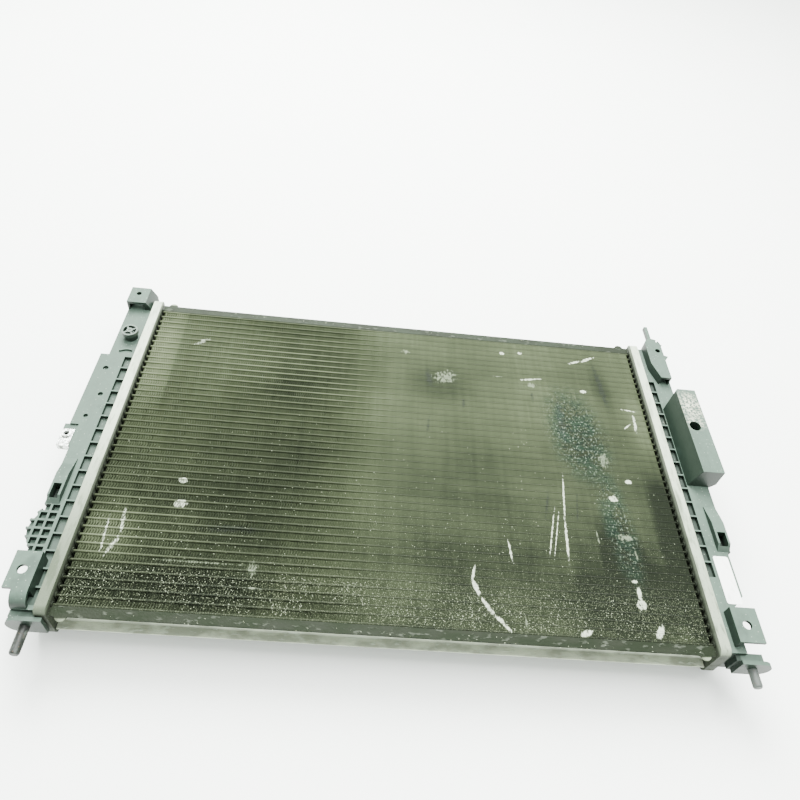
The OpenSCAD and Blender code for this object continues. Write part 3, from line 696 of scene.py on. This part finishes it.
def braze_collars(material):
    """Rounded collars where each tube passes through a header plate."""
    maker = Maker("braze_collars", count=TUBE_COUNT, pitch=PITCH, deep=DEPTH + 2.2 * MM,
                  tall=TUBE_THICK + 1.6 * MM, bead=0.85 * MM, face=HEADER_X - 0.7 * MM)
    loop = maker.node("GeometryNodeCurvePrimitiveQuadrilateral", sockets={
        "Width": maker.size("deep"), "Height": maker.size("tall")})
    rounded = maker.geometry("FilletCurve", {"mode": "POLY"}, {
        "Curve": loop.outputs[0], "Radius": maker.size("tall") * 0.48, "Count": 5})
    section = maker.geometry("CurvePrimitiveCircle", sockets={
        "Resolution": 8, "Radius": maker.size("bead")})
    collar = maker.geometry("CurveToMesh", sockets={"Curve": rounded, "Profile Curve": section})
    points = maker.geometry("MeshLine", sockets={
        "Count": maker.size("count"), "Offset": maker.vector(0.0, maker.size("pitch")),
        "Start Location": maker.vector(
            maker.size("face"), maker.size("pitch") * -0.5 * (TUBE_COUNT - 1),
            FRONT - DEPTH / 2)})
    placed = maker.geometry("InstanceOnPoints", sockets={
        "Points": points, "Instance": collar, "Rotation": (0, math.pi / 2, 0)})
    smooth = maker.geometry("SetShadeSmooth", sockets={"Geometry": placed})
    right = maker.made("right_tube_collars", smooth, material)
    left = maker.again("left_tube_collars", face=-HEADER_X + 0.7 * MM)
    for piece in (left, right):
        kept(piece)


def strew(name, material, centre, size, count, crumb, height, seed, slope=0.0):
    """Crumbs strewn over a flat strip; `slope` makes them thicken towards its lower side."""
    maker = Maker(name, length=size[0], width=size[1], count=count, crumb=crumb, seed=seed,
                  height=height)
    sheet = maker.geometry("MeshGrid", sockets={
        "Size X": maker.size("length"), "Size Y": maker.size("width"), "Vertices X": 60,
        "Vertices Y": 30})
    y = maker.parts(maker.geometry("InputPosition"))[1] / maker.size("width")
    thick = (1.0 - slope + (0.5 - y) * slope * 2) * (maker.noise(26.0, 3.0) * 5 + 0.6)
    density = maker.size("count") / (maker.size("length") * maker.size("width"))
    points = maker.node("GeometryNodeDistributePointsOnFaces", sockets={
        "Mesh": sheet, "Density": density * thick.largest(0.0), "Seed": maker.size("seed")})
    lifted = maker.geometry("SetPosition", sockets={
        "Geometry": points.outputs["Points"],
        "Offset": maker.random((centre[0], centre[1], centre[2] - height),
                               (centre[0], centre[1], centre[2]), maker.size("seed"))})
    ball = maker.geometry("MeshIcoSphere", sockets={"Radius": maker.size("crumb"),
                                                    "Subdivisions": 1})
    scale = maker.random((0.35, 0.35, 0.3), (1.7, 1.2, 0.55), maker.size("seed"))
    turn = maker.random((-0.4, -0.4, 0), (0.4, 0.4, FULL_TURN), maker.size("seed"))
    placed = maker.geometry("InstanceOnPoints", sockets={
        "Points": lifted, "Instance": ball, "Rotation": turn, "Scale": scale})
    return kept(maker.made(name, placed, material))


# ---- the whole ----

def lay_floor():
    mesh = bpy.data.meshes.new("floor")
    reach = 6
    mesh.from_pydata([(-reach, -reach, 0), (reach, -reach, 0), (reach, reach, 0),
                      (-reach, reach, 0)], [], [(0, 1, 2, 3)])
    mesh.materials.append(studio_floor())
    new_object("floor", mesh)


def finish_core():
    tubes = core_finish("tube_aluminium", (0.005, 0.0075, 0.0032), (0.032, 0.04, 0.0205),
                        (0.1, 0.12, 0.069), 0.65, open_lift=0.22)
    fins = core_finish("fin_aluminium", (0.006, 0.009, 0.004), (0.039, 0.049, 0.0255),
                       (0.12, 0.142, 0.082), 0.75)
    # The negative open_lift on the packed dust is painted shade of the deeper gaps in the open
    # zones.
    dust = core_finish("packed_dust", (0.005, 0.0075, 0.0032), (0.035, 0.0445, 0.0225),
                       (0.105, 0.127, 0.074), 0.85, open_lift=-0.2)
    repaint("core_tubes", tubes)
    fold_fins(fins)
    pack_dust(dust)


def finish_headers():
    material = header_aluminium()
    for node in ("left_header_plate", "right_header_plate"):
        moulded(node, material, 0.7 * MM, segments=3)
    braze_collars(collar_dirt())
    plate = side_plate_aluminium()
    for node in ("upper_side_plate", "lower_side_plate"):
        moulded(node, plate, 0.35 * MM)


def finish_tanks():
    plastic = tank_plastic()
    for node in ("left_tank", "right_tank", "bracket_box"):
        moulded(node, plastic, 0.45 * MM)
    pins = pin_plastic()
    for node in ("left_locating_pin", "right_locating_pin"):
        moulded(node, pins, 0.4 * MM)
    moulded("clip_nut", clip_steel(), 0.15 * MM)
    screw = tank_plastic("screw_plastic", (0.02, 0.032, 0.024), (0.11, 0.145, 0.12))
    moulded("bleed_screw", screw, 0.3 * MM, body="bleed_screw")
    moulded("drain_plug", plain_rubber("plug_plastic", (0.014, 0.016, 0.014)), 0.3 * MM,
            body="drain_plug")
    repaint("label", label_paper())
    rubber = plain_rubber("seal_rubber", (0.007, 0.007, 0.007))
    for node in ("left_header_gasket", "right_header_gasket", "bleed_screw_seal",
                 "drain_plug_seal"):
        repaint(node, rubber)


def strew_crumbs():
    crust = dry_crust()
    top = FRONT + 0.15 * MM
    strew("core_crumbs", crust, (0, -0.06, top), (0.53, 0.22), 1900, 0.3 * MM,
          0.9 * MM, 3, slope=0.8)
    strew("lower_core_crumbs", crust, (0, -0.157, top), (0.54, 0.034), 3200,
          0.32 * MM, 0.8 * MM, 5)
    strew("lower_plate_crust", crust, (0.02, LOWER_LOW.y + 6 * MM, top),
          (0.5, 7 * MM), 240, 0.35 * MM, 0.8 * MM, 11)
    strew("upper_plate_crust", crust, (0, UPPER_HIGH.y - 6 * MM, top),
          (0.52, 6 * MM), 150, 0.4 * MM, 0.6 * MM, 13)


set_camera()
lay_floor()
set_light()
finish_core()
finish_headers()
finish_tanks()
strew_crumbs()
